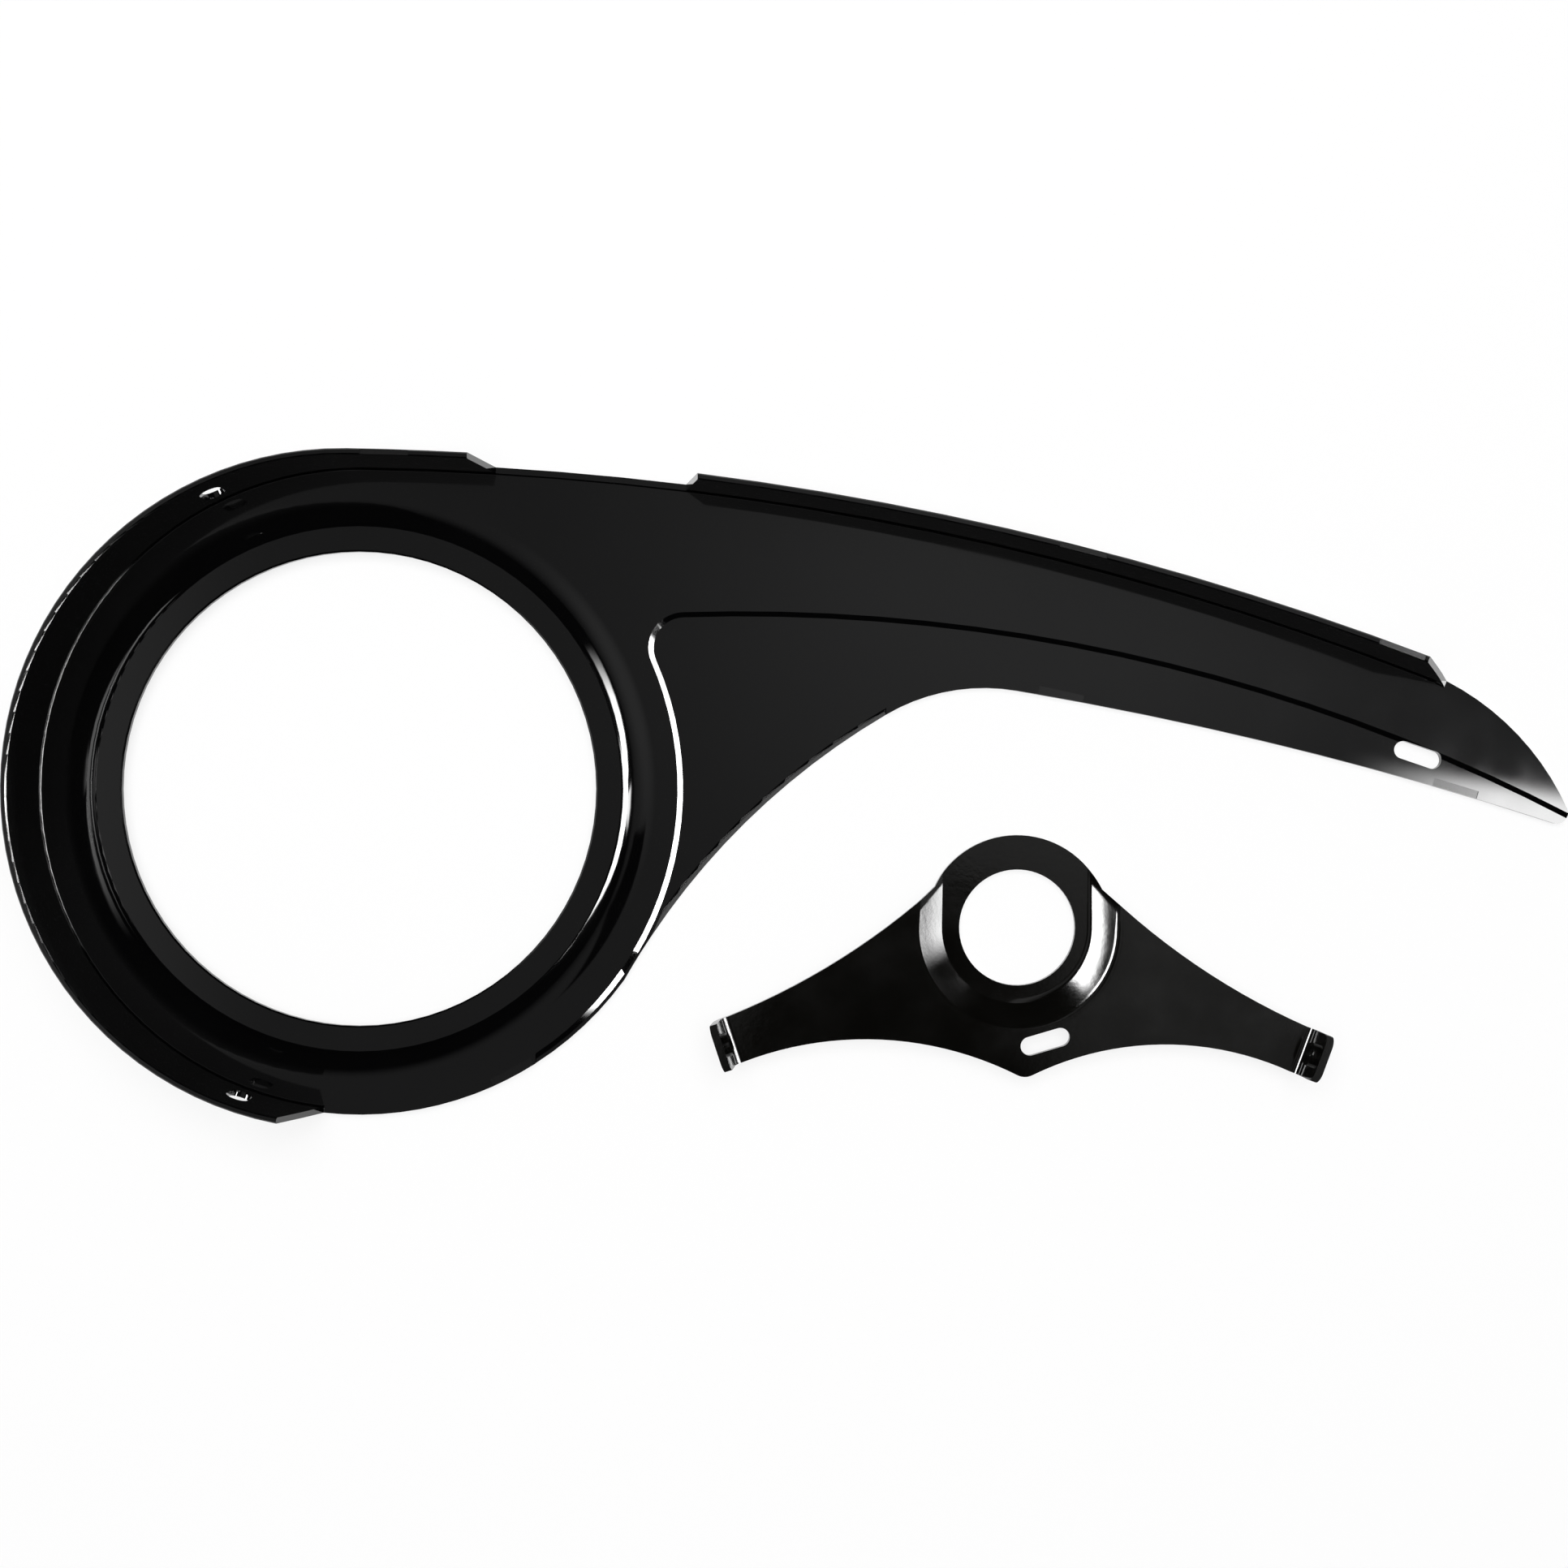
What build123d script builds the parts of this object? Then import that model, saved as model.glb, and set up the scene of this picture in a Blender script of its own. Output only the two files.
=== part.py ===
"""Bicycle chain guard: a moulded guard shell and the pressed steel bracket that carries it.

The guard lies on its outer face with the flange upwards. The origin is the crank axis at the
level of the surface it lies on, +X runs along the tail and +Z along the crank axis.
"""
import os
from math import asin, atan, cos, degrees, radians, sin, sqrt, tan

from build123d import *

# Guard shell: wall thicknesses and heights
PLATE_T = 2.2  # side plate
FLANGE_T = 1.8  # flange round the edge
RIM_H = 32.0  # top of the flange above the resting surface
PANEL_DROP = 1.0  # lower tail panel lies this much lower than the rest of the plate
CREASE_RUN = 1.5  # width of the sloped step between the two levels
BASE_FILLET = 0.5  # inside corner between the plate and the flange
RIM_CHAMFER = 0.4  # both edges of the flange's rim

# Guard shell: raised ring round the crank opening, from the opening outwards
OPENING_R = 71.3
OPENING_CHAMFER = 0.5
RAISED_W = 7.6  # flat top of the raised ring
DISH_EASE = 0.4  # eased edge between that flat and its wall
DISH_EDGE_DEG = 32.0  # slope of the hollow wall at its top
DISH_BREAK_DEG = 13.0  # slope where its curve becomes wider
DISH_HOLLOW_R = 12.0  # upper part of the curve
DISH_COVE_R = 28.0  # foot of the curve
COVER_BAND = 9.05  # flat band from the wall's foot to the edge of the round cover

# Guard shell: outline
JUNCTION_DEG = -36.0  # where the hollow edge under the tail meets the round cover
TOP_TANGENT_DEG = 89.1  # where the long top edge leaves the round cover
TOP_R = 918.0  # long top edge
TAIL_TOP_X = 320.0  # where the top edge turns down to the tip
TIP_X = 366.5
TIP_Y = -12.4
TIP_FILLET = 3.0
TAIL_LOW_DEG = 161.6  # heading of the tail's lower edge as it leaves the tip
THROAT_X = 198.0  # where the lower edge begins to turn down towards the cover
THROAT_Y = 29.6
ARCH_END_X = 158.7  # where the tight bend under the tail becomes the long hollow edge
ARCH_END_Y = 22.4

# Guard shell: crease between the upper and the lower panel
CREASE_TOP_X = 115.0  # highest point of the long crease
CREASE_TOP_Y = 52.8
CREASE_TOP_R = 540.0
CREASE_CORNER_R = 10.0
LEDGE_END_DEG = -57.5  # end of the narrow ledge that the crease leaves on the cover's edge

# Guard shell: bevel along the hollow edge of the lower panel
EDGE_EASY_H = 0.35  # upper face of the bevel
EDGE_EASY_DEG = 26.0
EDGE_STEEP_H = 1.5  # lower face of the bevel
EDGE_STEEP_DEG = 55.0

# Guard shell: shallow flats that the ejector blades leave
MARK_L = 14.0
MARK_W = 2.6
MARK_D = 0.25
RIM_MARK_XS = (12.4, 214.5, 306.5)  # on the rim of the top edge
TAIL_MARKS = ((211.4, 27.2, -12.6), (330.2, -1.3, -16.8))  # on the open edge: place and turn
COVER_MARK_DEG = -61.9  # on the edge of the round cover

# Guard shell: where the flange is open
LOW_END_DEG = 263.6  # lower end of the flange at the plate
LOW_END_RIM_DEG = 259.0  # and at the rim
TAIL_END_X = 327.8  # tail end of the flange at the plate
TAIL_END_RIM_X = 314.0  # and at the rim
GAP_START_X = 41.0  # gap in the top edge, at the plate
GAP_END_X = 98.3
GAP_SPREAD = 4.6  # each end of the gap is this much wider at the rim
GAP_LIP = 0.8  # low lip left standing in the gap

# Guard shell: slots
FLANGE_SLOT_DEGS = (115.2, 249.9)
FLANGE_SLOT_Z = 16.0
FLANGE_SLOT_L = 12.5
FLANGE_SLOT_W = 6.5
TAIL_SLOT_BACK = 47.3  # from the tip along the tail
TAIL_SLOT_UP = 22.6  # above the tip
TAIL_SLOT_L = 14.75
TAIL_SLOT_W = 5.3
TAIL_SLOT_DEG = -19.0

# Bracket: where it lies beside the guard
BRACKET_X = 198.2
BRACKET_Y = -41.9
BRACKET_DEG = -1.0

# Bracket: sheet, dished ring and arms
SHEET_T = 2.3
BORE_R = 17.5  # slips over the bottom bracket cup
COLLAR_RING_R = 27.9  # outside of the ring
SEAT_R = 22.0  # flat seat round the bore
SEAT_RUN = 7.5  # width of the sloped wall round the seat
SEAT_DEPTH = 5.5  # arms stand this much higher than the seat
SEAT_BEND_R = 3.0  # inside of the two bends of that wall
SHOULDER_DEG = 25.6  # where the arm's upper edge meets the ring
ARM_END_R = 91.1  # bend line of the end tab from the bore's axis
ARM_END_DEG = 22.3  # arm's end below the horizontal
TAB_TURN_DEG = 3.0  # tab is turned this much from square to the radius
ARM_TOP_SAG = 3.2
ARM_LOW_SAG = 9.2
APEX_X = 2.5
APEX_Y = -45.0
APEX_FILLET = 5.0
SHEET_SLOT_X = 8.4
SHEET_SLOT_Y = -33.7
SHEET_SLOT_L = 15.1
SHEET_SLOT_W = 5.6
SHEET_SLOT_DEG = 17.4

# Bracket: end tabs
TAB_W = 14.4
TAB_L = 11.5  # straight part above the bend
TAB_LEAN_DEG = 5.0  # outwards from upright
BEND_R = 2.4  # inside of the bend
TAB_CORNER_R = 3.5
THREAD_R = 2.1
THREAD_UP = 4.5  # above the end of the bend
NECK_R = 3.6  # drawn neck round the thread
NECK_H = 1.4

# How far a cutting shape runs past the surface that it cuts
OVERCUT = 0.5

PLATE_Z = PANEL_DROP + PLATE_T  # upper face of the round cover
DISH_EDGE_R = OPENING_R + RAISED_W + DISH_EASE


def polar(radius, angle):
    """Point at a radius and an angle, in degrees, about the Z axis."""
    return (radius * cos(radians(angle)), radius * sin(radians(angle)))


def wall_section(top_z):
    """Hollow curve of the raised ring's wall, below a flat at the given height: two tangent arcs."""
    start = (DISH_EDGE_R, top_z - DISH_EASE * tan(radians(DISH_EDGE_DEG / 2)))
    turn = polar(DISH_HOLLOW_R, 90 - DISH_EDGE_DEG)
    hollow_centre = (start[0] + turn[0], start[1] + turn[1])
    hollow = CenterArc(hollow_centre, DISH_HOLLOW_R, 270 - DISH_EDGE_DEG, DISH_EDGE_DEG - DISH_BREAK_DEG)
    middle = hollow @ 1
    turn = polar(DISH_COVE_R, 90 - DISH_BREAK_DEG)
    cove_centre = (middle.X + turn[0], middle.Y + turn[1])
    cove = CenterArc(cove_centre, DISH_COVE_R, 270 - DISH_BREAK_DEG, DISH_BREAK_DEG)
    return hollow, cove


WALL_FOOT = wall_section(0)[1] @ 1
RING_R = WALL_FOOT.X + COVER_BAND  # round cover of the chainring
DISH_JOIN_R = WALL_FOOT.X + COVER_BAND / 4  # where the raised ring's section ends in the flat plate
TOP_CENTRE = polar(RING_R - TOP_R, TOP_TANGENT_DEG)


def top_y(x):
    """Height of the long top edge at a place along the tail."""
    return TOP_CENTRE[1] + sqrt(TOP_R**2 - (x - TOP_CENTRE[0]) ** 2)


def guard_outline():
    """Whole side plate: the round cover and the tail, each curve tangent to the one before."""
    tail_top = (TAIL_TOP_X, top_y(TAIL_TOP_X))
    tip = (TIP_X, TIP_Y)
    throat = (THROAT_X, THROAT_Y)
    arch_end = (ARCH_END_X, ARCH_END_Y)
    ring_span = 360 - TOP_TANGENT_DEG + JUNCTION_DEG
    ring = CenterArc((0, 0), RING_R, TOP_TANGENT_DEG, ring_span)
    top = TangentArc(ring @ 0, tail_top, tangent=-(ring % 0))
    end = TangentArc(tail_top, tip, tangent=top % 1)
    low = TangentArc(tip, throat, tangent=polar(1, TAIL_LOW_DEG))
    arch = TangentArc(throat, arch_end, tangent=low % 1)
    hollow = TangentArc(arch_end, ring @ 1, tangent=arch % 1)
    outline = make_face([ring, top, end, low, arch, hollow])
    corner = outline.vertices().sort_by(Axis.X)[-1]
    return fillet(corner, TIP_FILLET)


def panel_region(grow):
    """Area below the crease, grown outwards across the crease; it runs past the outline."""
    below = Pos(CREASE_TOP_X, CREASE_TOP_Y - CREASE_TOP_R) * Circle(CREASE_TOP_R + grow)
    ledge_x = polar(RING_R, LEDGE_END_DEG)[0]
    field = Pos(ledge_x, 0) * Rectangle(TIP_X, 2 * RING_R, align=(Align.MIN, Align.CENTER))
    region = (below & field) - Circle(RING_R - FLANGE_T - grow)
    corner = region.vertices().sort_by(Axis.Y)[-1]
    return fillet(corner, CREASE_CORNER_R + grow)


def crease_step(base_z, shift):
    """Solid under or over the lower panel, with its side sloped along the crease."""
    top_z = base_z + PANEL_DROP
    lower = panel_region(shift - CREASE_RUN / 2)
    upper = panel_region(shift + CREASE_RUN / 2 + OVERCUT * CREASE_RUN / PANEL_DROP)
    return loft([Pos(0, 0, base_z) * lower, Pos(0, 0, top_z + OVERCUT) * upper], ruled=True)


def open_side(share):
    """Area without a flange, under the cover and the tail; share 0 is at the plate, 1 at the rim."""
    low_deg = LOW_END_DEG + share * (LOW_END_RIM_DEG - LOW_END_DEG)
    end_x = TAIL_END_X + share * (TAIL_END_RIM_X - TAIL_END_X)
    slope = (end_x - TOP_CENTRE[0]) / TOP_R
    rise = sqrt(1 - slope**2)
    inside = -RIM_H / 2
    outside = RIM_H
    corners = [
        (0, 0),
        polar(2 * RING_R, low_deg),
        (2 * TIP_X, -2 * RING_R),
        (2 * TIP_X, RING_R),
        (end_x + outside * slope, top_y(end_x) + outside * rise),
        (end_x + inside * slope, top_y(end_x) + inside * rise),
        (THROAT_X, (THROAT_Y + top_y(THROAT_X)) / 2),
    ]
    return make_face(Polyline(corners, close=True))


def dish_section():
    """Section of the raised ring: flat ring, its wall, and the plate out to the join."""
    ring_z = PLATE_Z - WALL_FOOT.Y
    hollow, cove = wall_section(ring_z)
    low_hollow, low_cove = wall_section(ring_z - PLATE_T)
    opening = Polyline(
        low_hollow @ 0,
        (DISH_EDGE_R - DISH_EASE, ring_z - PLATE_T),
        (OPENING_R, ring_z - PLATE_T),
        (OPENING_R, ring_z - OPENING_CHAMFER),
        (OPENING_R + OPENING_CHAMFER, ring_z),
        (DISH_EDGE_R - DISH_EASE, ring_z),
        hollow @ 0,
    )
    join = Polyline(cove @ 1, (DISH_JOIN_R, PLATE_Z), (DISH_JOIN_R, PANEL_DROP), low_cove @ 1)
    return make_face([hollow, cove, low_hollow, low_cove] + opening.edges() + join.edges())


def open_edge(outline):
    """Material that the bevel takes off the lower panel's hollow edge."""
    steep = extrude(outline, EDGE_STEEP_H, taper=90 - EDGE_STEEP_DEG)
    easy = extrude(steep.faces().sort_by(Axis.Z)[-1], EDGE_EASY_H, taper=90 - EDGE_EASY_DEG)
    height = EDGE_STEEP_H + EDGE_EASY_H
    panel = panel_region(-CREASE_RUN / 2) - Circle(RING_R)
    panel &= Pos(ARCH_END_X, 0) * Rectangle(TIP_X, 2 * RING_R, align=(Align.MAX, Align.CENTER))
    corner = (extrude(outline, height) - steep - easy) & extrude(panel, height)
    return Pos(0, 0, PLATE_T - height) * corner


def ejector_marks():
    """Places of the shallow flats along the rim and the open edge."""
    places = []
    for x in RIM_MARK_XS:
        turn = -degrees(asin((x - TOP_CENTRE[0]) / TOP_R))
        places.append(Pos(x, top_y(x), RIM_H) * Rot(0, 0, turn))
    for x, y, turn in TAIL_MARKS:
        places.append(Pos(x, y, PLATE_T) * Rot(0, 0, turn))
    x, y = polar(RING_R, COVER_MARK_DEG)
    places.append(Pos(x, y, PLATE_Z) * Rot(0, 0, COVER_MARK_DEG + 90))
    return places


def guard_shell():
    """Side plate with its flange, the raised ring, the lower panel and the slots."""
    outline = guard_outline()
    block = Pos(0, 0, PANEL_DROP) * extrude(outline, RIM_H - PANEL_DROP)
    end_share = (RIM_H + OVERCUT - PLATE_Z) / (RIM_H - PLATE_Z)
    clear = offset(outline, -FLANGE_T) + open_side(0)
    inside = extrude(clear, RIM_H)
    foot = inside.edges().filter_by_position(Axis.Z, 0, 0).filter_by(GeomType.CIRCLE)
    shell = block - Pos(0, 0, PLATE_Z) * fillet(foot, BASE_FILLET)
    foot_area = Pos(0, 0, PLATE_Z) * open_side(0)
    rim_area = Pos(0, 0, RIM_H + OVERCUT) * open_side(end_share)
    shell -= loft([foot_area, rim_area], ruled=True)

    gap_z = PLATE_Z + GAP_LIP
    spread = GAP_SPREAD * (RIM_H + OVERCUT - gap_z) / (RIM_H - gap_z)
    gap = Polyline(
        (GAP_START_X, gap_z),
        (GAP_END_X, gap_z),
        (GAP_END_X + spread, RIM_H + OVERCUT),
        (GAP_START_X - spread, RIM_H + OVERCUT),
        close=True,
    )
    shell -= extrude(Plane.XZ * make_face(gap), -2 * RING_R)
    rim = shell.edges().filter_by_position(Axis.Z, RIM_H, RIM_H)
    shell = chamfer(rim.filter_by(lambda edge: edge.length > 2 * FLANGE_T), RIM_CHAMFER)

    shell -= extrude(Circle(DISH_JOIN_R), RIM_H)
    shell += revolve(Plane.XZ * dish_section(), Axis.Z)

    bend = atan(PANEL_DROP / CREASE_RUN)
    under = crease_step(0, PLATE_T * tan(bend / 2))
    shell += under & extrude(outline, PLATE_Z - OVERCUT)
    shell -= crease_step(PLATE_T, 0)
    shell -= open_edge(outline)
    for place in ejector_marks():
        shell -= place * Box(MARK_L, 2 * MARK_W, 2 * MARK_D)

    for angle in FLANGE_SLOT_DEGS:
        x, y = polar(RING_R, angle)
        face = Plane(origin=(x, y, FLANGE_SLOT_Z), x_dir=(0, 0, 1), z_dir=(x, y, 0))
        shell -= extrude(face * SlotOverall(FLANGE_SLOT_L, FLANGE_SLOT_W), 2 * FLANGE_T, both=True)
    slot = SlotOverall(TAIL_SLOT_L, TAIL_SLOT_W, TAIL_SLOT_DEG)
    return shell - extrude(Pos(TIP_X - TAIL_SLOT_BACK, TIP_Y + TAIL_SLOT_UP) * slot, RIM_H)


def seat_region(grow):
    """U-shaped area of the bracket's seat, open towards the top of the ring."""
    half = SEAT_R + grow
    top = 2 * COLLAR_RING_R
    round_end = CenterArc((0, 0), half, 180, 180)
    sides = Polyline((half, 0), (half, top), (-half, top), (-half, 0))
    return make_face(round_end.edges() + sides.edges())


def seat_wall():
    """Sloped wall round the seat with its two bends: turned round the lower half, straight above."""
    shift = SHEET_T * tan(atan(SEAT_DEPTH / SEAT_RUN) / 2)
    top_r = SEAT_R + SEAT_RUN
    top_z = SEAT_DEPTH + SHEET_T
    radii = (SEAT_BEND_R, SEAT_BEND_R + SHEET_T)
    upper = FilletPolyline(
        (BORE_R, SHEET_T),
        (SEAT_R, SHEET_T),
        (top_r, top_z),
        (top_r + SEAT_RUN, top_z),
        radius=radii,
    )
    lower = FilletPolyline(
        (top_r + SEAT_RUN, SEAT_DEPTH),
        (top_r + shift, SEAT_DEPTH),
        (SEAT_R + shift, 0),
        (BORE_R, 0),
        radius=radii,
    )
    ends = [Line(upper @ 1, lower @ 0), Line(lower @ 1, upper @ 0)]
    section = Plane.XZ * make_face(upper.edges() + lower.edges() + ends)
    side = extrude(section, -2 * COLLAR_RING_R)
    return revolve(section, Axis.Z, -180) + side + mirror(side, about=Plane.YZ)


def bracket_outline():
    """Flat shape of the bracket without its end tabs."""
    shoulder = polar(COLLAR_RING_R, SHOULDER_DEG)
    middle = polar(ARM_END_R, -ARM_END_DEG)
    along = polar(TAB_W / 2, 90 - ARM_END_DEG + TAB_TURN_DEG)
    end_top = (middle[0] + along[0], middle[1] + along[1])
    end_low = (middle[0] - along[0], middle[1] - along[1])
    apex = (APEX_X, APEX_Y)
    ring = CenterArc((0, 0), COLLAR_RING_R, SHOULDER_DEG, 180 - 2 * SHOULDER_DEG)
    edges = [ring]
    for side in (1, -1):
        root = (side * shoulder[0], shoulder[1])
        tab_top = (side * end_top[0], end_top[1])
        tab_low = (side * end_low[0], end_low[1])
        upper = SagittaArc(root, tab_top, -side * ARM_TOP_SAG)
        end = Line(tab_top, tab_low)
        lower = SagittaArc(tab_low, apex, -side * ARM_LOW_SAG)
        edges += [upper, end, lower]
    outline = make_face(edges)
    return fillet(outline.vertices().sort_by(Axis.Y)[0], APEX_FILLET)


def end_tab():
    """Bent end of the right-hand arm with its threaded neck, in the bracket's own frame."""
    out_deg = TAB_TURN_DEG - ARM_END_DEG
    middle = polar(ARM_END_R, -ARM_END_DEG)
    out = polar(1, out_deg)
    bend_line = (middle[0], middle[1], SEAT_DEPTH)
    side_plane = Plane(origin=bend_line, x_dir=(out[0], out[1], 0), z_dir=(out[1], -out[0], 0))
    turn = 90 - TAB_LEAN_DEG
    centre = (0, SHEET_T + BEND_R)
    outer = CenterArc(centre, BEND_R + SHEET_T, -90, turn)
    inner = CenterArc(centre, BEND_R, -90, turn)
    bend = make_face([outer, Line(outer @ 1, inner @ 1), inner, Line(inner @ 0, outer @ 0)])
    tab = extrude(side_plane * bend, TAB_W / 2, both=True)

    start = inner @ 1
    foot = side_plane.from_local_coords((start.X, start.Y, 0))
    up = polar(1, turn)
    up_dir = side_plane.from_local_coords((start.X + up[0], start.Y + up[1], 0)) - foot
    width_dir = side_plane.z_dir
    plate_plane = Plane(origin=foot, x_dir=-width_dir, z_dir=up_dir.cross(width_dir))
    blade = Rectangle(TAB_W, TAB_L, align=(Align.CENTER, Align.MIN))
    blade = fillet(blade.vertices().group_by(Axis.Y)[-1], TAB_CORNER_R)
    tab += extrude(plate_plane * blade, SHEET_T)
    neck = plate_plane * Pos(0, THREAD_UP, 0)
    tab += neck * extrude(Circle(NECK_R), -NECK_H)
    return tab - neck * extrude(Circle(THREAD_R), 2 * SHEET_T, both=True)


def mounting_bracket():
    """Pressed sheet bracket: dished ring, two arms, a slot and two bent tabs."""
    outline = bracket_outline()
    top_z = SEAT_DEPTH + SHEET_T
    sheet = Pos(0, 0, SEAT_DEPTH) * extrude(outline - seat_region(2 * SEAT_RUN), SHEET_T)
    sheet += seat_wall() & extrude(outline, top_z)
    sheet += extrude(outline & seat_region(0), SHEET_T)
    tab = end_tab()
    sheet += tab
    sheet += mirror(tab, about=Plane.YZ)
    sheet -= extrude(Circle(BORE_R), top_z)
    slot = Pos(SHEET_SLOT_X, SHEET_SLOT_Y) * SlotOverall(SHEET_SLOT_L, SHEET_SLOT_W, SHEET_SLOT_DEG)
    sheet -= extrude(slot, top_z)
    return Pos(BRACKET_X, BRACKET_Y, 0) * Rot(0, 0, BRACKET_DEG) * sheet


os.makedirs("parts", exist_ok=True)
export_step(guard_shell(), "parts/guard_shell.step")
export_step(mounting_bracket(), "parts/mounting_bracket.step")
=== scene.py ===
import math

import bmesh
import bpy
import numpy as np
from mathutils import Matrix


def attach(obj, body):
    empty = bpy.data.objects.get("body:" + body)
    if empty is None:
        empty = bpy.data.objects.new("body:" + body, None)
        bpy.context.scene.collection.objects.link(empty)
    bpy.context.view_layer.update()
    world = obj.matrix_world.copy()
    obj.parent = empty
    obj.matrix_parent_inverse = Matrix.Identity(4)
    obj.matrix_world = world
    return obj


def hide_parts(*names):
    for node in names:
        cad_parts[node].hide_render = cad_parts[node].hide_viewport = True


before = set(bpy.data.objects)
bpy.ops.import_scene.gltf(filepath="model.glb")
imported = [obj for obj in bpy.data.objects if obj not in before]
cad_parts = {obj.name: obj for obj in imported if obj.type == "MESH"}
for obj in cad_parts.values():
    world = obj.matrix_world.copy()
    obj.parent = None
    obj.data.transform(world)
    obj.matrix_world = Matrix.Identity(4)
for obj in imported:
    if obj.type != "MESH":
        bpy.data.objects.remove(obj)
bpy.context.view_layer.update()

# Guard shell
# The real piece is one injection moulding in black plastic with a mirror gloss on the side seen
# here. Plate, flange and raised ring run into each other, so the skin is one smooth surface.
cover_edge = 0.098308
flange_wall = 0.0018
plate_top = 0.0032
base_round = 0.0005
opening_edge = 0.0713
opening_chamfer = 0.0005
top_edge_round = 0.918
top_edge_centre = (-0.012875, -0.819591)
hollow_edge_round = 0.2175453
hollow_edge_centre = (0.2686414, -0.1653201)
hollow_bevel = 0.0018
wall_start = 0.0793
wall_hollow = 0.012
wall_cove = 0.028
wall_edge_slope = math.radians(32)
wall_break_slope = math.radians(13)
mark_levels = (0.00195, 0.00295, 0.03175)
mark_slack = 0.00002


def welded_skin(node, name):
    """Copy of a modelled piece: loose triangles welded, and edges that bend little made smooth."""
    weld_gap = 0.000005
    smooth_bend = math.radians(24)
    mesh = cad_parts[node].data.copy()
    mesh.name = name
    mesh.materials.clear()
    skin = bpy.data.objects.new(name, mesh)
    bpy.context.scene.collection.objects.link(skin)
    weld = bmesh.new()
    weld.from_mesh(mesh)
    bmesh.ops.remove_doubles(weld, verts=weld.verts, dist=weld_gap)
    for edge in weld.edges:
        edge.smooth = len(edge.link_faces) == 2 and edge.calc_face_angle() < smooth_bend
    for face in weld.faces:
        face.smooth = True
    weld.to_mesh(mesh)
    weld.free()
    return skin


def corner_table(mesh):
    """Per triangle corner: its point, the normal of its face and its smoothed normal."""
    points = np.empty(3 * len(mesh.vertices))
    mesh.vertices.foreach_get("co", points)
    owner = np.empty(len(mesh.loops), dtype=int)
    mesh.loops.foreach_get("vertex_index", owner)
    flat = np.empty(3 * len(mesh.polygons))
    mesh.polygons.foreach_get("normal", flat)
    counts = np.empty(len(mesh.polygons), dtype=int)
    mesh.polygons.foreach_get("loop_total", counts)
    smooth = np.empty(3 * len(mesh.loops))
    mesh.corner_normals.foreach_get("vector", smooth)
    face = np.repeat(flat.reshape(-1, 3), counts, axis=0)
    return points.reshape(-1, 3)[owner], face, smooth.reshape(-1, 3)


def level_normals(normals, face):
    """Faces that lie level keep their own straight normal, so that they mirror like flat sheet."""
    level_cosine = 0.99995
    level = np.abs(face[:, 2]) > level_cosine
    normals[level] = face[level]
    return normals


def turned_normals(normals, points, face, centre, radii):
    """Walls and bevels turned round an axis: the normal's level part points along the radius."""
    slack = 0.0006
    least_lean = 0.05
    aligned = 0.995
    out = points[:, :2] - np.array(centre)
    reach = np.linalg.norm(out, axis=1)
    out = out / reach[:, None]
    across = np.linalg.norm(face[:, :2], axis=1)
    along = np.sum(out * face[:, :2], axis=1)
    near = np.zeros(len(points), dtype=bool)
    for radius in radii:
        near |= np.abs(reach - radius) < slack
    near &= (across > least_lean) & (np.abs(along) > aligned * across)
    normals[near, :2] = out[near] * (np.sign(along) * across)[near, None]
    normals[near, 2] = face[near, 2]
    return normals


def base_round_normals(normals, points, face, centre, wall_radius):
    """Inside corner between plate and flange: the normal points at the centre of its rounding."""
    edge_slack = 0.00002
    round_slack = 0.00006
    least_rise, most_rise = 0.02, 0.9999
    out = points[:, :2] - np.array(centre)
    reach = np.linalg.norm(out, axis=1)
    out = out / reach[:, None]
    inward = wall_radius - base_round - reach
    upward = plate_top + base_round - points[:, 2]
    span = np.hypot(inward, upward)
    near = (inward < edge_slack) & (upward > -edge_slack)
    near &= np.abs(span - base_round) < round_slack
    near &= (np.abs(face[:, 2]) > least_rise) & (face[:, 2] < most_rise)
    near &= np.sum(out * face[:, :2], axis=1) < 0
    normals[near, :2] = out[near] * (inward / span)[near, None]
    normals[near, 2] = (upward / span)[near]
    return normals


def raised_wall_normals(normals, points, face):
    """Hollow wall of the raised ring: its slope's sine falls evenly, first fast and then slowly."""
    edge_slack = 0.0001
    same_side = 0.965
    most_rise = 0.9999
    reach = np.linalg.norm(points[:, :2], axis=1)
    out = points[:, :2] / reach[:, None]
    hollow_end = wall_start + wall_hollow * (math.sin(wall_edge_slope) - math.sin(wall_break_slope))
    foot = hollow_end + wall_cove * math.sin(wall_break_slope)
    hollow = math.sin(wall_edge_slope) - (reach - wall_start) / wall_hollow
    cove = (foot - reach) / wall_cove
    sine = np.clip(np.where(reach < hollow_end, hollow, cove), 0, math.sin(wall_edge_slope))
    exact = np.column_stack([out * sine[:, None], np.sqrt(1 - sine**2)])
    exact = exact * np.sign(face[:, 2:3])
    near = (reach > wall_start - edge_slack) & (reach < foot + edge_slack)
    near &= (np.sum(exact * face, axis=1) > same_side) & (np.abs(face[:, 2]) < most_rise)
    normals[near] = exact[near]
    return normals


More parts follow.
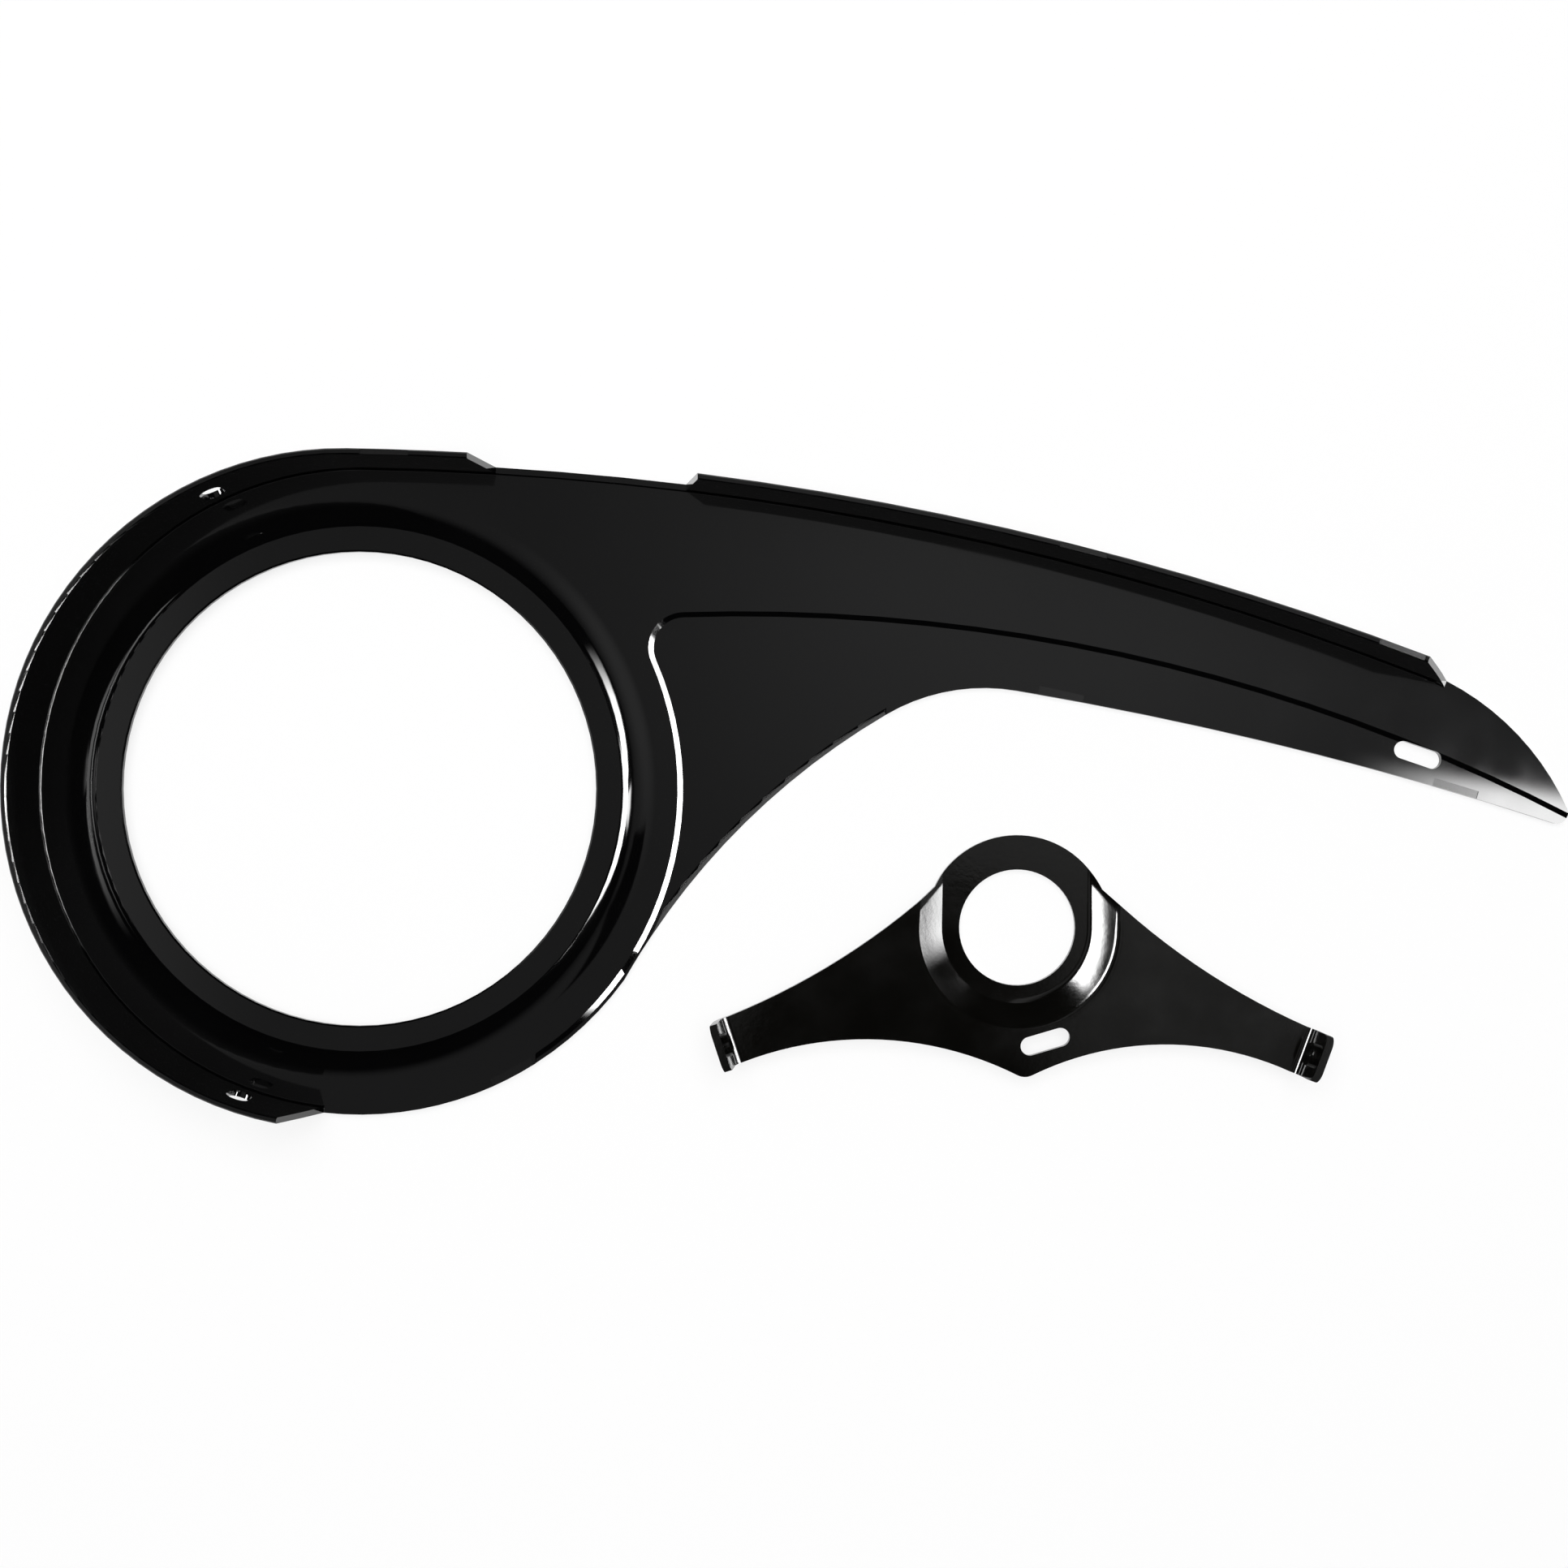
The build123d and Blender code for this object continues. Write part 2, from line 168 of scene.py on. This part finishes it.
def plastic_finish(name):
    """Black gloss plastic: faint moulding waves, cloudy haze in the gloss, satin ejector marks."""
    finish = bpy.data.materials.new(name)
    finish.use_nodes = True
    nodes = finish.node_tree.nodes
    links = finish.node_tree.links
    shader = nodes["Principled BSDF"]
    shader.inputs["IOR"].default_value = 1.5
    place = nodes.new("ShaderNodeTexCoord")

    cloud = nodes.new("ShaderNodeTexNoise")
    cloud.inputs["Scale"].default_value = 45
    cloud.inputs["Detail"].default_value = 4
    links.new(place.outputs["Object"], cloud.inputs["Vector"])
    colour = nodes.new("ShaderNodeMix")
    colour.data_type = "RGBA"
    colour.inputs["A"].default_value = (0.0010, 0.0010, 0.0011, 1)
    colour.inputs["B"].default_value = (0.0018, 0.0018, 0.0019, 1)
    links.new(cloud.outputs["Fac"], colour.inputs["Factor"])
    links.new(colour.outputs["Result"], shader.inputs["Base Color"])

    haze = nodes.new("ShaderNodeMapRange")
    haze.inputs["From Min"].default_value = 0.35
    haze.inputs["From Max"].default_value = 0.7
    haze.inputs["To Min"].default_value = 0.04
    haze.inputs["To Max"].default_value = 0.08
    links.new(cloud.outputs["Fac"], haze.inputs["Value"])
    mark = nodes.new("ShaderNodeAttribute")
    mark.attribute_name = "ejector_mark"
    satin = nodes.new("ShaderNodeMix")
    satin.inputs["B"].default_value = 0.19
    links.new(mark.outputs["Fac"], satin.inputs["Factor"])
    links.new(haze.outputs["Result"], satin.inputs["A"])
    links.new(satin.outputs["Result"], shader.inputs["Roughness"])

    wave = nodes.new("ShaderNodeTexNoise")
    wave.inputs["Scale"].default_value = 30
    wave.inputs["Detail"].default_value = 1
    links.new(place.outputs["Object"], wave.inputs["Vector"])
    bump = nodes.new("ShaderNodeBump")
    bump.inputs["Strength"].default_value = 0.1
    bump.inputs["Distance"].default_value = 0.0001
    links.new(wave.outputs["Fac"], bump.inputs["Height"])
    links.new(bump.outputs["Normal"], shader.inputs["Normal"])
    return finish


guard = welded_skin("guard_shell", "guard_skin")
points, face, normals = corner_table(guard.data)
normals = level_normals(normals, face)
flange_inside = cover_edge - flange_wall
cover_radii = (opening_edge, opening_edge + opening_chamfer, wall_start, flange_inside, cover_edge)
normals = turned_normals(normals, points, face, (0, 0), cover_radii)
top_radii = (top_edge_round - flange_wall, top_edge_round)
normals = turned_normals(normals, points, face, top_edge_centre, top_radii)
hollow_radii = tuple(hollow_edge_round + share * hollow_bevel for share in (0, 0.5, 1))
normals = turned_normals(normals, points, face, hollow_edge_centre, hollow_radii)
normals = base_round_normals(normals, points, face, (0, 0), flange_inside)
normals = base_round_normals(normals, points, face, top_edge_centre, top_radii[0])
normals = raised_wall_normals(normals, points, face)
guard.data.normals_split_custom_set(normals.tolist())
middle = np.empty(3 * len(guard.data.polygons))
guard.data.polygons.foreach_get("center", middle)
height = middle.reshape(-1, 3)[:, 2]
marked = np.min(np.abs(height[:, None] - np.array(mark_levels)), axis=1) < mark_slack
mark_values = guard.data.attributes.new("ejector_mark", "FLOAT", "FACE").data
mark_values.foreach_set("value", marked.astype(np.float32))
guard.data.materials.append(plastic_finish("Gloss black plastic"))
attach(guard, "root")
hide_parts("guard_shell")

# Mounting bracket
# The real piece is pressed from steel sheet and painted gloss black; the tabs are bent up and
# their necks drawn from the sheet. It lies loose beside the guard.
bore_centre = (0.1982, -0.0419)
tab_edge_height = 0.0185
tab_edge_rise = 0.15
seat_depth = 0.0055
seat_run = 0.0075
seat_wall_slope = math.atan2(seat_depth, seat_run)
foot_bend = (0.02102, 0.02279)
head_bend = (0.02777, 0.03090)
foot_slope_right = math.radians(31.5)
head_slope_right = math.radians(38)
foot_slope_left = math.radians(35.2)
head_slope_left = math.radians(37)
bracket_turn = math.radians(-1)
shoulder_lean = math.atan2(0.663, 0.749)
shoulder_reach = 0.02779
shoulder_depths = (0.0010, 0.0017, 0.0024, 0.0030)
shoulder_margin = 0.0003
shoulder_roll = math.radians(30)


def paint_finish(name):
    """Gloss black paint on steel: orange peel in the bump and duller patches in the gloss."""
    finish = bpy.data.materials.new(name)
    finish.use_nodes = True
    nodes = finish.node_tree.nodes
    links = finish.node_tree.links
    shader = nodes["Principled BSDF"]
    shader.inputs["IOR"].default_value = 1.5
    place = nodes.new("ShaderNodeTexCoord")

    patch = nodes.new("ShaderNodeTexNoise")
    patch.inputs["Scale"].default_value = 60
    patch.inputs["Detail"].default_value = 5
    links.new(place.outputs["Object"], patch.inputs["Vector"])
    colour = nodes.new("ShaderNodeMix")
    colour.data_type = "RGBA"
    colour.inputs["A"].default_value = (0.0016, 0.0015, 0.0012, 1)
    colour.inputs["B"].default_value = (0.0028, 0.0027, 0.0023, 1)
    links.new(patch.outputs["Fac"], colour.inputs["Factor"])
    links.new(colour.outputs["Result"], shader.inputs["Base Color"])

    gloss = nodes.new("ShaderNodeMapRange")
    gloss.inputs["From Min"].default_value = 0.35
    gloss.inputs["From Max"].default_value = 0.7
    gloss.inputs["To Min"].default_value = 0.08
    gloss.inputs["To Max"].default_value = 0.15
    links.new(patch.outputs["Fac"], gloss.inputs["Value"])
    links.new(gloss.outputs["Result"], shader.inputs["Roughness"])

    peel = nodes.new("ShaderNodeTexNoise")
    peel.inputs["Scale"].default_value = 700
    peel.inputs["Detail"].default_value = 2
    links.new(place.outputs["Object"], peel.inputs["Vector"])
    bump = nodes.new("ShaderNodeBump")
    bump.inputs["Strength"].default_value = 0.12
    bump.inputs["Distance"].default_value = 0.0001
    links.new(peel.outputs["Fac"], bump.inputs["Height"])
    links.new(bump.outputs["Normal"], shader.inputs["Normal"])
    return finish


def shoulder_aim(side):
    """Direction square to the left (-1) or right (1) shoulder's outline, away from the bore."""
    lean = shoulder_lean if side > 0 else math.pi - shoulder_lean
    return np.array((math.cos(lean + bracket_turn), math.sin(lean + bracket_turn)))


def cut_shoulders(skin):
    """Cuts on lines beside the shoulders' outline, where the normals turn; the shape stays."""
    on_plane = 0.0000001
    cut = bmesh.new()
    cut.from_mesh(skin.data)
    for side in (-1, 1):
        aim = shoulder_aim(side)
        for depth in shoulder_depths:
            place = np.array(bore_centre) + aim * (shoulder_reach - depth)
            everything = cut.verts[:] + cut.edges[:] + cut.faces[:]
            bmesh.ops.bisect_plane(cut, geom=everything, dist=on_plane,
                                   plane_co=(*place, 0), plane_no=(*aim, 0))
    cut.to_mesh(skin.data)
    cut.free()


def seat_wall_normals(normals, points, face):
    """Pressed wall round the seat: its slope grows in a straight line from foot to head.

    On the right the lower bend's slope rises evenly to the foot's, and the upper bend's falls in
    its middle third. On the left the lower bend lies level, and the upper bend keeps the head's
    slope up to its middle and lies level past it. Below the bore on the right the wall's aim turns
    less than its outline, and beside the shoulders' outline it rolls towards the slot.
    """
    left_start, left_ease_in, left_end, left_ease_out = 80, 20, 300, 40
    held_share, held_end, held_ease = 0.3, 80, 30
    bend_share = 0.97
    edge_slack = 0.0003
    least_slope, slope_slack = 0.002, 0.02
    least_lean = 0.05

    out = points[:, :2] - np.array(bore_centre)
    reach = np.where(out[:, 1] > 0, np.abs(out[:, 0]), np.linalg.norm(out, axis=1))
    turn = np.degrees(np.arctan2(out[:, 1], out[:, 0])) % 360
    left = np.clip((turn - left_start) / left_ease_in, 0, 1)
    left = left * np.clip((left_end - turn) / left_ease_out, 0, 1)
    real = np.arccos(np.clip(normals[:, 2], -1, 1))
    facet = np.arccos(np.clip(face[:, 2], -1, 1))
    on_bend = facet < bend_share * seat_wall_slope

    rise = np.clip((reach - foot_bend[0]) / (foot_bend[1] - foot_bend[0]), 0, 1)
    climb = np.clip((reach - foot_bend[1]) / (head_bend[0] - foot_bend[1]), 0, 1)
    wall_right = foot_slope_right + (head_slope_right - foot_slope_right) * climb
    wall_left = foot_slope_left + (head_slope_left - foot_slope_left) * climb
    inner_right = np.where(on_bend, foot_slope_right * rise, wall_right)
    inner_left = np.where(on_bend, 0.0, wall_left)
    inner = inner_right + (inner_left - inner_right) * left
    middle_third = np.clip(3 * real / seat_wall_slope - 1, 0, 1)
    outer_right = head_slope_right * middle_third
    outer_left = np.where(facet > 0.5 * seat_wall_slope, head_slope_left, 0.0)
    outer = outer_right + (outer_left - outer_right) * left
    on_head_bend = (0.5 * (head_bend[0] + foot_bend[1]) < reach) & on_bend
    slope = np.where(on_head_bend, outer, inner)

    leans = np.linalg.norm(normals[:, :2], axis=1) > least_lean
    aim = np.where(leans[:, None], normals[:, :2], face[:, :2])
    below = np.where(turn > 180, turn - 360, 0.0)
    held = held_share * below * np.clip((below + held_end) / held_ease, 0, 1) * (turn > 270)
    held = np.radians(held)
    aim = np.column_stack([aim[:, 0] * np.cos(held) + aim[:, 1] * np.sin(held),
                           aim[:, 1] * np.cos(held) - aim[:, 0] * np.sin(held)])
    aim = aim / np.maximum(np.linalg.norm(aim, axis=1), 1e-9)[:, None]
    beyond = np.where(out[:, 0] > 0, out @ shoulder_aim(1), out @ shoulder_aim(-1))
    inside = shoulder_reach - beyond - shoulder_margin
    roll = np.clip(1 - inside / (max(shoulder_depths) - shoulder_margin), 0, 1)
    roll = shoulder_roll * roll**2 * (3 - 2 * roll)
    aim = aim * np.cos(roll)[:, None] + np.array((0, -1)) * np.sin(roll)[:, None]
    aim = aim / np.linalg.norm(aim, axis=1)[:, None]

    near = (reach > foot_bend[0] - edge_slack) & (reach < head_bend[1] + edge_slack)
    near &= (facet > least_slope) & (facet < seat_wall_slope + slope_slack)
    normals[near, :2] = aim[near] * np.sin(slope)[near, None]
    normals[near, 2] = np.cos(slope[near])
    return normals


bracket = welded_skin("mounting_bracket", "bracket_skin")
cut_shoulders(bracket)
points, face, normals = corner_table(bracket.data)
normals = seat_wall_normals(level_normals(normals, face), points, face)
cut_edge = (points[:, 2] > tab_edge_height) & (face[:, 2] > tab_edge_rise)
normals[cut_edge] = (0, 0, 1)
bracket.data.normals_split_custom_set(normals.tolist())
bracket.data.materials.append(paint_finish("Gloss black paint"))
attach(bracket, "root")
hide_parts("mounting_bracket")

# Studio floor
# A wide sheet of white paper that the guard and its bracket lie on. Most of its white is a glow,
# and the rest is lit by the lamp and takes the soft shadow.
floor_half = 6.0
floor_level = -0.0003
glow_share = 0.8
floor_mesh = bpy.data.meshes.new("Floor")
floor_mesh.from_pydata(
    [(-floor_half, -floor_half, floor_level), (floor_half, -floor_half, floor_level),
     (floor_half, floor_half, floor_level), (-floor_half, floor_half, floor_level)],
    [], [(0, 1, 2, 3)])
floor = bpy.data.objects.new("Floor", floor_mesh)
bpy.context.scene.collection.objects.link(floor)
paper = bpy.data.materials.new("White paper")
paper.use_nodes = True
nodes = paper.node_tree.nodes
links = paper.node_tree.links
sheet = nodes["Principled BSDF"]
sheet.inputs["Base Color"].default_value = (0.96, 0.96, 0.96, 1)
sheet.inputs["Roughness"].default_value = 0.9
sheet.inputs["Specular IOR Level"].default_value = 0.0
glow = nodes.new("ShaderNodeEmission")
glow.inputs["Strength"].default_value = 1.0
path = nodes.new("ShaderNodeLightPath")
either = nodes.new("ShaderNodeMath")
either.operation = "MAXIMUM"
links.new(path.outputs["Is Camera Ray"], either.inputs[0])
links.new(path.outputs["Is Transmission Ray"], either.inputs[1])
seen = nodes.new("ShaderNodeMath")
seen.operation = "MAXIMUM"
links.new(either.outputs["Value"], seen.inputs[0])
links.new(path.outputs["Is Glossy Ray"], seen.inputs[1])
share = nodes.new("ShaderNodeMath")
share.operation = "MULTIPLY"
links.new(seen.outputs["Value"], share.inputs[0])
share.inputs[1].default_value = glow_share
mix = nodes.new("ShaderNodeMixShader")
links.new(share.outputs["Value"], mix.inputs["Fac"])
links.new(sheet.outputs["BSDF"], mix.inputs[1])
links.new(glow.outputs["Emission"], mix.inputs[2])
links.new(mix.outputs["Shader"], nodes["Material Output"].inputs["Surface"])
floor_mesh.materials.append(paper)

# Studio light
# One large lamp overhead lights everything at a plain level and throws the soft shadow. The room
# is white to the eye and gives a weak fill; the gloss mirrors a dim ceiling in place of the lamp.
lamp_place = (0.05, 0.35, 1.8)
lamp_side = 1.5
lamp_radiance = 4.9
lamp = bpy.data.lights.new("Overhead lamp", "AREA")
lamp.shape = "SQUARE"
lamp.size = lamp_side
lamp.energy = lamp_radiance * math.pi * lamp_side**2
overhead = bpy.data.objects.new("Overhead lamp", lamp)
overhead.location = lamp_place
overhead.rotation_euler = (-math.atan2(lamp_place[1], lamp_place[2]), 0, 0)
overhead.visible_glossy = False
bpy.context.scene.collection.objects.link(overhead)

room = bpy.data.worlds.new("Room")
room.use_nodes = True
bpy.context.scene.world = room
nodes = room.node_tree.nodes
links = room.node_tree.links
fill = nodes["Background"]
fill.inputs["Color"].default_value = (1, 1, 1, 1)
fill.inputs["Strength"].default_value = 0.2
where = nodes.new("ShaderNodeTexCoord")
split = nodes.new("ShaderNodeSeparateXYZ")
links.new(where.outputs["Generated"], split.inputs["Vector"])
patch = nodes.new("ShaderNodeVectorMath")
patch.operation = "DISTANCE"
patch.inputs[1].default_value = (0.13, 0.11, 0.985)
links.new(where.outputs["Generated"], patch.inputs[0])
bright = nodes.new("ShaderNodeMapRange")
bright.interpolation_type = "SMOOTHSTEP"
bright.inputs["From Min"].default_value = 0.04
bright.inputs["From Max"].default_value = 0.26
bright.inputs["To Min"].default_value = 0.47
bright.inputs["To Max"].default_value = 0.22
links.new(patch.outputs["Value"], bright.inputs["Value"])
reach = nodes.new("ShaderNodeMapRange")
reach.interpolation_type = "SMOOTHSTEP"
reach.inputs["From Min"].default_value = 0.87
reach.inputs["From Max"].default_value = 0.95
links.new(split.outputs["Z"], reach.inputs["Value"])
left_glow = nodes.new("ShaderNodeMapRange")
left_glow.interpolation_type = "SMOOTHSTEP"
left_glow.inputs["From Min"].default_value = -0.23
left_glow.inputs["From Max"].default_value = -0.31
left_glow.inputs["To Max"].default_value = 0.24
links.new(split.outputs["X"], left_glow.inputs["Value"])
both = nodes.new("ShaderNodeMath")
both.operation = "ADD"
links.new(bright.outputs["Result"], both.inputs[0])
links.new(left_glow.outputs["Result"], both.inputs[1])
level = nodes.new("ShaderNodeMath")
level.operation = "MULTIPLY"
links.new(both.outputs["Value"], level.inputs[0])
links.new(reach.outputs["Result"], level.inputs[1])
ceiling = nodes.new("ShaderNodeBackground")
ceiling.inputs["Color"].default_value = (1, 1, 1, 1)
links.new(level.outputs["Value"], ceiling.inputs["Strength"])
white = nodes.new("ShaderNodeBackground")
white.inputs["Color"].default_value = (1, 1, 1, 1)
path = nodes.new("ShaderNodeLightPath")
gloss_or_fill = nodes.new("ShaderNodeMixShader")
links.new(path.outputs["Is Glossy Ray"], gloss_or_fill.inputs["Fac"])
links.new(fill.outputs["Background"], gloss_or_fill.inputs[1])
links.new(ceiling.outputs["Background"], gloss_or_fill.inputs[2])
straight = nodes.new("ShaderNodeMath")
straight.operation = "MAXIMUM"
links.new(path.outputs["Is Camera Ray"], straight.inputs[0])
links.new(path.outputs["Is Transmission Ray"], straight.inputs[1])
mix = nodes.new("ShaderNodeMixShader")
links.new(straight.outputs["Value"], mix.inputs["Fac"])
links.new(gloss_or_fill.outputs["Shader"], mix.inputs[1])
links.new(white.outputs["Background"], mix.inputs[2])
links.new(mix.outputs["Shader"], nodes["World Output"].inputs["Surface"])

# Boards for the gloss
# Bright boards draw the white lines on the raised ring, the crease, the tail's tip and the wall of
# the bracket's seat, and a dark card over the bracket keeps its left half black. Only mirrored rays
# meet them, so they light nothing else.


def board(name, corners, soft, radiance):
    """Sheet between four corners, each point a weighted mean of them by its two shares of the way.

    It fades in smoothly from its edges, over the widths in soft: near, far, left and right.
    """
    steps = np.linspace(0, 1, 33)
    across, along = np.meshgrid(steps, steps)
    near_left, near_right, far_right, far_left = np.array(corners, dtype=float)[:, None, None]
    across = across[..., None]
    along = along[..., None]
    place = (near_left * (1 - across) + near_right * across) * (1 - along)
    place = place + (far_left * (1 - across) + far_right * across) * along
    cover = np.ones(across.shape)
    for run, width in zip((along, 1 - along, across, 1 - across), soft):
        rise = np.clip(run / width, 0, 1)
        cover = cover * rise**2 * (3 - 2 * rise)
    knot = np.arange(steps.size**2).reshape(steps.size, steps.size)
    faces = np.stack([knot[:-1, :-1], knot[:-1, 1:], knot[1:, 1:], knot[1:, :-1]], axis=-1)
    mesh = bpy.data.meshes.new(name)
    mesh.from_pydata(place.reshape(-1, 3).tolist(), [], faces.reshape(-1, 4).tolist())
    mesh.attributes.new("cover", "FLOAT", "POINT").data.foreach_set("value", cover.ravel())
    light = bpy.data.materials.new(name)
    light.use_nodes = True
    nodes = light.node_tree.nodes
    links = light.node_tree.links
    shine = nodes.new("ShaderNodeEmission")
    shine.inputs["Strength"].default_value = radiance
    clear = nodes.new("ShaderNodeBsdfTransparent")
    amount = nodes.new("ShaderNodeAttribute")
    amount.attribute_name = "cover"
    fade = nodes.new("ShaderNodeMixShader")
    links.new(amount.outputs["Fac"], fade.inputs["Fac"])
    links.new(clear.outputs["BSDF"], fade.inputs[1])
    links.new(shine.outputs["Emission"], fade.inputs[2])
    links.new(fade.outputs["Shader"], nodes["Material Output"].inputs["Surface"])
    mesh.materials.append(light)
    sheet = bpy.data.objects.new(name, mesh)
    sheet.visible_camera = False
    sheet.visible_diffuse = False
    sheet.visible_transmission = False
    sheet.visible_shadow = False
    bpy.context.scene.collection.objects.link(sheet)


board("Tail_board",
      [(0.467, 0.022, 0.65), (0.49, -0.13, 0.65), (0.74, -0.13, 0.65), (0.74, -0.025, 0.65)],
      (0.36, 0.01, 0.09, 0.45), 22)
board("Right_board",
      [(0.64, 0.14, 0.62), (0.64, -0.28, 0.62), (1.228, -1.066, 0.779), (1.318, 0.338, 0.779)],
      (0.08, 0.15, 0.20, 0.25), 45)
board("Far_right_board",
      [(1.883, 0.503, 0.912), (1.677, -0.807, 0.885), (2.714, -1.494, 1.15), (2.90, 0.80, 1.15)],
      (0.10, 0.08, 0.20, 0.02), 60)
board("Far_low_board",
      [(1.686, -0.684, 0.885), (0.98, -1.13, 0.745), (1.40, -1.98, 0.865), (2.732, -1.272, 1.15)],
      (0.10, 0.08, 0.02, 0.15), 60)
board("Low_right_board",
      [(1.30, 0.34, 0.40), (1.30, -0.25, 0.40), (1.30, -0.25, 0.20), (1.30, 0.34, 0.20)],
      (0.2, 0.6, 0.75, 0.15), 22)
board("High_right_board",
      [(0.36, 0.32, 0.72), (0.7, 0.02, 0.72), (1.27, -0.061, 0.789), (0.867, 0.719, 0.789)],
      (0.16, 0.25, 0.60, 0.15), 45)
board("Far_high_right_board",
      [(1.543, 1.251, 0.881), (2.03, -0.169, 0.881), (2.6, -0.25, 0.95), (2.05, 1.65, 0.95)],
      (0.10, 0.12, 0.60, 0.15), 50)
board("Left_board",
      [(-0.9, 0.65, 1.1), (-0.9, -0.25, 1.1), (-0.9, -0.25, 0.52), (-0.9, 0.65, 0.52)],
      (0.2, 0.3, 0.2, 0.2), 40)
board("Dark_card",
      [(0.15, -0.03, 0.65), (0.31, -0.070, 0.65), (0.31, -0.22, 0.65), (0.05, -0.22, 0.65)],
      (0.06, 0.1, 0.1, 0.20), 0.0)

# Camera
# Straight above the guard, as the photograph was taken, a little over half a metre up.
lens = bpy.data.cameras.new("Camera")
lens.sensor_width = 36
lens.lens = 49.24
camera = bpy.data.objects.new("Camera", lens)
camera.location = (0.1278, 0.00144, 0.650)
bpy.context.scene.collection.objects.link(camera)
bpy.context.scene.camera = camera
bpy.context.scene.view_settings.view_transform = "Standard"
